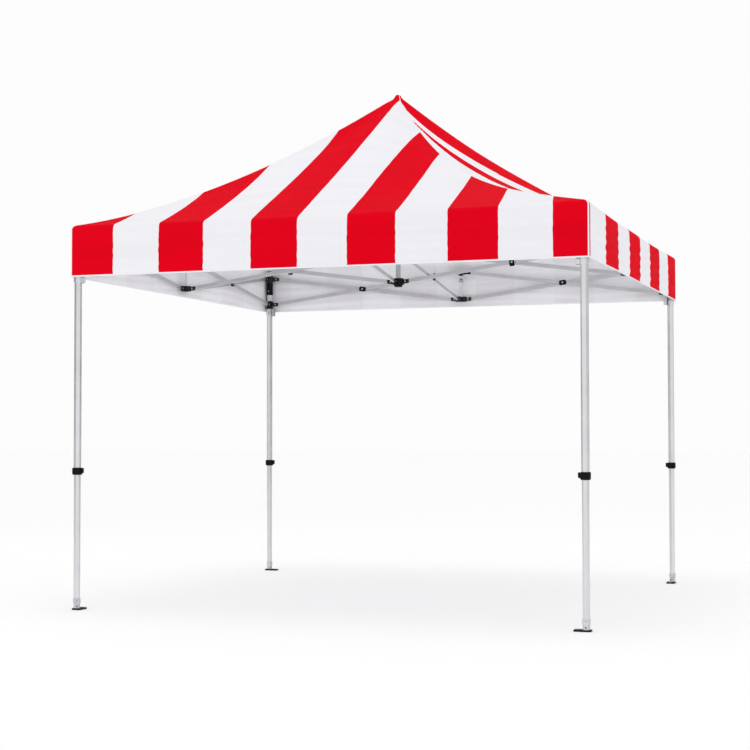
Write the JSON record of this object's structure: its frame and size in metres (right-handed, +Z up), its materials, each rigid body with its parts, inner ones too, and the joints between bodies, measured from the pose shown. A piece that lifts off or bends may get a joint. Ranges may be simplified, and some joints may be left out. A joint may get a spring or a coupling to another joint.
{
  "type": "pop-up canopy tent",
  "caption": "Square folding canopy with striped peaked roof and valance on a scissor-truss frame with telescoping legs and a centre mast.",
  "frame": {"origin": "on the floor under the middle of the frame", "axes": "+Z up, -Y towards the front side; +X to the right seen from the front"},
  "size_m": [3.09, 3.09, 3.193],
  "materials": {
    "cloth": "coated woven polyester, red and white stripes, white binding",
    "aluminium": "satin anodised tube",
    "black_plastic": "moulded nylon, satin",
    "foot": "black coated steel plate with a grey sleeve"
  },
  "bodies": {
    "hub_top": {"hub_top": "black_plastic"},
    "front_arm_down": {"front_arm_down": "aluminium"},
    "front_arm_up": {"front_arm_up": "aluminium"},
    "front_connector_low": {"front_connector_low": "black_plastic"},
    "front_connector_top": {"front_connector_top": "black_plastic", "front_canopy": "cloth"},
    "mast": {"hub_low": "black_plastic", "mast": "aluminium"},
    "front_bar_down_a": {"front_bar_down_a": "aluminium"},
    "front_bar_up_a": {"front_bar_up_a": "aluminium"},
    "front_bar_down_b": {"front_bar_down_b": "aluminium"},
    "front_bar_up_b": {"front_bar_up_b": "aluminium"},
    "front_right_leg_upper": {"front_right_leg_upper": "aluminium", "front_right_collar": "black_plastic"},
    "front_right_slider": {"front_right_slider": "black_plastic"},
    "front_right_leg_lower": {"front_right_leg_lower": "aluminium", "front_right_foot": "foot"},
    "right_arm_down": {"right_arm_down": "aluminium"},
    "right_arm_up": {"right_arm_up": "aluminium"},
    "right_connector_low": {"right_connector_low": "black_plastic"},
    "right_connector_top": {"right_connector_top": "black_plastic", "right_canopy": "cloth"},
    "right_bar_down_a": {"right_bar_down_a": "aluminium"},
    "right_bar_up_a": {"right_bar_up_a": "aluminium"},
    "right_bar_down_b": {"right_bar_down_b": "aluminium"},
    "right_bar_up_b": {"right_bar_up_b": "aluminium"},
    "back_right_leg_upper": {"back_right_leg_upper": "aluminium", "back_right_collar": "black_plastic"},
    "back_right_slider": {"back_right_slider": "black_plastic"},
    "back_right_leg_lower": {"back_right_leg_lower": "aluminium", "back_right_foot": "foot"},
    "back_arm_down": {"back_arm_down": "aluminium"},
    "back_arm_up": {"back_arm_up": "aluminium"},
    "back_connector_low": {"back_connector_low": "black_plastic"},
    "back_connector_top": {"back_connector_top": "black_plastic", "back_canopy": "cloth"},
    "back_bar_down_a": {"back_bar_down_a": "aluminium"},
    "back_bar_up_a": {"back_bar_up_a": "aluminium"},
    "back_bar_down_b": {"back_bar_down_b": "aluminium"},
    "back_bar_up_b": {"back_bar_up_b": "aluminium"},
    "back_left_leg_upper": {"back_left_leg_upper": "aluminium", "back_left_collar": "black_plastic"},
    "back_left_slider": {"back_left_slider": "black_plastic"},
    "back_left_leg_lower": {"back_left_leg_lower": "aluminium", "back_left_foot": "foot"},
    "left_arm_down": {"left_arm_down": "aluminium"},
    "left_arm_up": {"left_arm_up": "aluminium"},
    "left_connector_low": {"left_connector_low": "black_plastic"},
    "left_connector_top": {"left_connector_top": "black_plastic", "left_canopy": "cloth"},
    "left_bar_down_a": {"left_bar_down_a": "aluminium"},
    "left_bar_up_a": {"left_bar_up_a": "aluminium"},
    "left_bar_down_b": {"left_bar_down_b": "aluminium"},
    "left_bar_up_b": {"left_bar_up_b": "aluminium"},
    "front_left_leg_upper": {"front_left_leg_upper": "aluminium", "front_left_collar": "black_plastic"},
    "front_left_slider": {"front_left_slider": "black_plastic"},
    "front_left_leg_lower": {"front_left_leg_lower": "aluminium", "front_left_foot": "foot"}
  },
  "joints": [
    {"name": "fold", "type": "hinge", "parent": "hub_top", "child": "front_arm_down", "pos_m": [0.009, -0.052, 2.188], "axis": [1, 0, 0], "range_deg": [0, 56.5], "deforming": ["front_canopy", "right_canopy", "back_canopy", "left_canopy"]},
    {"name": "front_arm_cross", "type": "hinge", "parent": "front_arm_down", "child": "front_arm_up", "pos_m": [-0.009, -0.7465, 2.092], "axis": [-1, 0, 0], "range_deg": [0, 113]},
    {"name": "front_low_level", "type": "hinge", "parent": "front_arm_down", "child": "front_connector_low", "pos_m": [0.009, -1.441, 1.996], "axis": [-1, 0, 0], "range_deg": [0, 56.5]},
    {"name": "front_top_level", "type": "hinge", "parent": "front_arm_up", "child": "front_connector_top", "pos_m": [-0.009, -1.441, 2.188], "axis": [1, 0, 0], "range_deg": [0, 56.5]},
    {"name": "mast_level", "type": "hinge", "parent": "front_arm_up", "child": "mast", "pos_m": [-0.009, -0.052, 1.996], "axis": [1, 0, 0], "range_deg": [0, 56.5]},
    {"name": "front_bar_a_fold", "type": "hinge", "parent": "front_connector_low", "child": "front_bar_down_a", "pos_m": [0.052, -1.502, 1.996], "axis": [0, -1, 0], "range_deg": [0, 56.5]},
    {"name": "front_bar_a_cross", "type": "hinge", "parent": "front_bar_down_a", "child": "front_bar_up_a", "pos_m": [0.7465, -1.484, 2.092], "axis": [0, 1, 0], "range_deg": [0, 113]},
    {"name": "front_bar_b_fold", "type": "hinge", "parent": "front_connector_low", "child": "front_bar_down_b", "pos_m": [-0.052, -1.502, 1.996], "axis": [0, 1, 0], "range_deg": [0, 56.5]},
    {"name": "front_bar_b_cross", "type": "hinge", "parent": "front_bar_down_b", "child": "front_bar_up_b", "pos_m": [-0.7465, -1.484, 2.092], "axis": [0, -1, 0], "range_deg": [0, 113]},
    {"name": "front_right_leg_level", "type": "hinge", "parent": "front_bar_down_a", "child": "front_right_leg_upper", "pos_m": [1.441, -1.502, 2.188], "axis": [0, 1, 0], "range_deg": [0, 56.5]},
    {"name": "front_right_slider_level", "type": "hinge", "parent": "front_bar_up_a", "child": "front_right_slider", "pos_m": [1.441, -1.484, 1.996], "axis": [0, -1, 0], "range_deg": [0, 56.5]},
    {"name": "front_right_telescope", "type": "slide", "parent": "front_right_leg_upper", "child": "front_right_leg_lower", "axis": [0, 0, 1], "range_m": [0, 0.7]},
    {"name": "right_arm_fold", "type": "hinge", "parent": "hub_top", "child": "right_arm_down", "pos_m": [0.052, 0.009, 2.188], "axis": [0, 1, 0], "range_deg": [0, 56.5]},
    {"name": "right_arm_cross", "type": "hinge", "parent": "right_arm_down", "child": "right_arm_up", "pos_m": [0.7465, -0.009, 2.092], "axis": [0, -1, 0], "range_deg": [0, 113]},
    {"name": "right_low_level", "type": "hinge", "parent": "right_arm_down", "child": "right_connector_low", "pos_m": [1.441, 0.009, 1.996], "axis": [0, -1, 0], "range_deg": [0, 56.5]},
    {"name": "right_top_level", "type": "hinge", "parent": "right_arm_up", "child": "right_connector_top", "pos_m": [1.441, -0.009, 2.188], "axis": [0, 1, 0], "range_deg": [0, 56.5]},
    {"name": "right_bar_a_fold", "type": "hinge", "parent": "right_connector_low", "child": "right_bar_down_a", "pos_m": [1.502, 0.052, 1.996], "axis": [1, 0, 0], "range_deg": [0, 56.5]},
    {"name": "right_bar_a_cross", "type": "hinge", "parent": "right_bar_down_a", "child": "right_bar_up_a", "pos_m": [1.484, 0.7465, 2.092], "axis": [-1, 0, 0], "range_deg": [0, 113]},
    {"name": "right_bar_b_fold", "type": "hinge", "parent": "right_connector_low", "child": "right_bar_down_b", "pos_m": [1.502, -0.052, 1.996], "axis": [-1, 0, 0], "range_deg": [0, 56.5]},
    {"name": "right_bar_b_cross", "type": "hinge", "parent": "right_bar_down_b", "child": "right_bar_up_b", "pos_m": [1.484, -0.7465, 2.092], "axis": [1, 0, 0], "range_deg": [0, 113]},
    {"name": "back_right_leg_level", "type": "hinge", "parent": "right_bar_down_a", "child": "back_right_leg_upper", "pos_m": [1.502, 1.441, 2.188], "axis": [-1, 0, 0], "range_deg": [0, 56.5]},
    {"name": "back_right_slider_level", "type": "hinge", "parent": "right_bar_up_a", "child": "back_right_slider", "pos_m": [1.484, 1.441, 1.996], "axis": [1, 0, 0], "range_deg": [0, 56.5]},
    {"name": "back_right_telescope", "type": "slide", "parent": "back_right_leg_upper", "child": "back_right_leg_lower", "axis": [0, 0, 1], "range_m": [0, 0.7]},
    {"name": "back_arm_fold", "type": "hinge", "parent": "hub_top", "child": "back_arm_down", "pos_m": [-0.009, 0.052, 2.188], "axis": [-1, 0, 0], "range_deg": [0, 56.5]},
    {"name": "back_arm_cross", "type": "hinge", "parent": "back_arm_down", "child": "back_arm_up", "pos_m": [0.009, 0.7465, 2.092], "axis": [1, 0, 0], "range_deg": [0, 113]},
    {"name": "back_low_level", "type": "hinge", "parent": "back_arm_down", "child": "back_connector_low", "pos_m": [-0.009, 1.441, 1.996], "axis": [1, 0, 0], "range_deg": [0, 56.5]},
    {"name": "back_top_level", "type": "hinge", "parent": "back_arm_up", "child": "back_connector_top", "pos_m": [0.009, 1.441, 2.188], "axis": [-1, 0, 0], "range_deg": [0, 56.5]},
    {"name": "back_bar_a_fold", "type": "hinge", "parent": "back_connector_low", "child": "back_bar_down_a", "pos_m": [-0.052, 1.502, 1.996], "axis": [0, 1, 0], "range_deg": [0, 56.5]},
    {"name": "back_bar_a_cross", "type": "hinge", "parent": "back_bar_down_a", "child": "back_bar_up_a", "pos_m": [-0.7465, 1.484, 2.092], "axis": [0, -1, 0], "range_deg": [0, 113]},
    {"name": "back_bar_b_fold", "type": "hinge", "parent": "back_connector_low", "child": "back_bar_down_b", "pos_m": [0.052, 1.502, 1.996], "axis": [0, -1, 0], "range_deg": [0, 56.5]},
    {"name": "back_bar_b_cross", "type": "hinge", "parent": "back_bar_down_b", "child": "back_bar_up_b", "pos_m": [0.7465, 1.484, 2.092], "axis": [0, 1, 0], "range_deg": [0, 113]},
    {"name": "back_left_leg_level", "type": "hinge", "parent": "back_bar_down_a", "child": "back_left_leg_upper", "pos_m": [-1.441, 1.502, 2.188], "axis": [0, -1, 0], "range_deg": [0, 56.5]},
    {"name": "back_left_slider_level", "type": "hinge", "parent": "back_bar_up_a", "child": "back_left_slider", "pos_m": [-1.441, 1.484, 1.996], "axis": [0, 1, 0], "range_deg": [0, 56.5]},
    {"name": "back_left_telescope", "type": "slide", "parent": "back_left_leg_upper", "child": "back_left_leg_lower", "axis": [0, 0, 1], "range_m": [0, 0.7]},
    {"name": "left_arm_fold", "type": "hinge", "parent": "hub_top", "child": "left_arm_down", "pos_m": [-0.052, -0.009, 2.188], "axis": [0, -1, 0], "range_deg": [0, 56.5]},
    {"name": "left_arm_cross", "type": "hinge", "parent": "left_arm_down", "child": "left_arm_up", "pos_m": [-0.7465, 0.009, 2.092], "axis": [0, 1, 0], "range_deg": [0, 113]},
    {"name": "left_low_level", "type": "hinge", "parent": "left_arm_down", "child": "left_connector_low", "pos_m": [-1.441, -0.009, 1.996], "axis": [0, 1, 0], "range_deg": [0, 56.5]},
    {"name": "left_top_level", "type": "hinge", "parent": "left_arm_up", "child": "left_connector_top", "pos_m": [-1.441, 0.009, 2.188], "axis": [0, -1, 0], "range_deg": [0, 56.5]},
    {"name": "left_bar_a_fold", "type": "hinge", "parent": "left_connector_low", "child": "left_bar_down_a", "pos_m": [-1.502, -0.052, 1.996], "axis": [-1, 0, 0], "range_deg": [0, 56.5]},
    {"name": "left_bar_a_cross", "type": "hinge", "parent": "left_bar_down_a", "child": "left_bar_up_a", "pos_m": [-1.484, -0.7465, 2.092], "axis": [1, 0, 0], "range_deg": [0, 113]},
    {"name": "left_bar_b_fold", "type": "hinge", "parent": "left_connector_low", "child": "left_bar_down_b", "pos_m": [-1.502, 0.052, 1.996], "axis": [1, 0, 0], "range_deg": [0, 56.5]},
    {"name": "left_bar_b_cross", "type": "hinge", "parent": "left_bar_down_b", "child": "left_bar_up_b", "pos_m": [-1.484, 0.7465, 2.092], "axis": [-1, 0, 0], "range_deg": [0, 113]},
    {"name": "front_left_leg_level", "type": "hinge", "parent": "left_bar_down_a", "child": "front_left_leg_upper", "pos_m": [-1.502, -1.441, 2.188], "axis": [1, 0, 0], "range_deg": [0, 56.5]},
    {"name": "front_left_slider_level", "type": "hinge", "parent": "left_bar_up_a", "child": "front_left_slider", "pos_m": [-1.484, -1.441, 1.996], "axis": [-1, 0, 0], "range_deg": [0, 56.5]},
    {"name": "front_left_telescope", "type": "slide", "parent": "front_left_leg_upper", "child": "front_left_leg_lower", "axis": [0, 0, 1], "range_m": [0, 0.7]}
  ],
  "couplings": [
    {"joint": "front_arm_cross", "follows": "fold", "ratio": 2},
    {"joint": "front_low_level", "follows": "fold", "ratio": 1},
    {"joint": "front_top_level", "follows": "fold", "ratio": 1},
    {"joint": "mast_level", "follows": "fold", "ratio": 1},
    {"joint": "front_bar_a_fold", "follows": "fold", "ratio": 1},
    {"joint": "front_bar_a_cross", "follows": "fold", "ratio": 2},
    {"joint": "front_bar_b_fold", "follows": "fold", "ratio": 1},
    {"joint": "front_bar_b_cross", "follows": "fold", "ratio": 2},
    {"joint": "front_right_leg_level", "follows": "fold", "ratio": 1},
    {"joint": "front_right_slider_level", "follows": "fold", "ratio": 1},
    {"joint": "right_arm_fold", "follows": "fold", "ratio": 1},
    {"joint": "right_arm_cross", "follows": "fold", "ratio": 2},
    {"joint": "right_low_level", "follows": "fold", "ratio": 1},
    {"joint": "right_top_level", "follows": "fold", "ratio": 1},
    {"joint": "right_bar_a_fold", "follows": "fold", "ratio": 1},
    {"joint": "right_bar_a_cross", "follows": "fold", "ratio": 2},
    {"joint": "right_bar_b_fold", "follows": "fold", "ratio": 1},
    {"joint": "right_bar_b_cross", "follows": "fold", "ratio": 2},
    {"joint": "back_right_leg_level", "follows": "fold", "ratio": 1},
    {"joint": "back_right_slider_level", "follows": "fold", "ratio": 1},
    {"joint": "back_arm_fold", "follows": "fold", "ratio": 1},
    {"joint": "back_arm_cross", "follows": "fold", "ratio": 2},
    {"joint": "back_low_level", "follows": "fold", "ratio": 1},
    {"joint": "back_top_level", "follows": "fold", "ratio": 1},
    {"joint": "back_bar_a_fold", "follows": "fold", "ratio": 1},
    {"joint": "back_bar_a_cross", "follows": "fold", "ratio": 2},
    {"joint": "back_bar_b_fold", "follows": "fold", "ratio": 1},
    {"joint": "back_bar_b_cross", "follows": "fold", "ratio": 2},
    {"joint": "back_left_leg_level", "follows": "fold", "ratio": 1},
    {"joint": "back_left_slider_level", "follows": "fold", "ratio": 1},
    {"joint": "left_arm_fold", "follows": "fold", "ratio": 1},
    {"joint": "left_arm_cross", "follows": "fold", "ratio": 2},
    {"joint": "left_low_level", "follows": "fold", "ratio": 1},
    {"joint": "left_top_level", "follows": "fold", "ratio": 1},
    {"joint": "left_bar_a_fold", "follows": "fold", "ratio": 1},
    {"joint": "left_bar_a_cross", "follows": "fold", "ratio": 2},
    {"joint": "left_bar_b_fold", "follows": "fold", "ratio": 1},
    {"joint": "left_bar_b_cross", "follows": "fold", "ratio": 2},
    {"joint": "front_left_leg_level", "follows": "fold", "ratio": 1},
    {"joint": "front_left_slider_level", "follows": "fold", "ratio": 1}
  ]
}
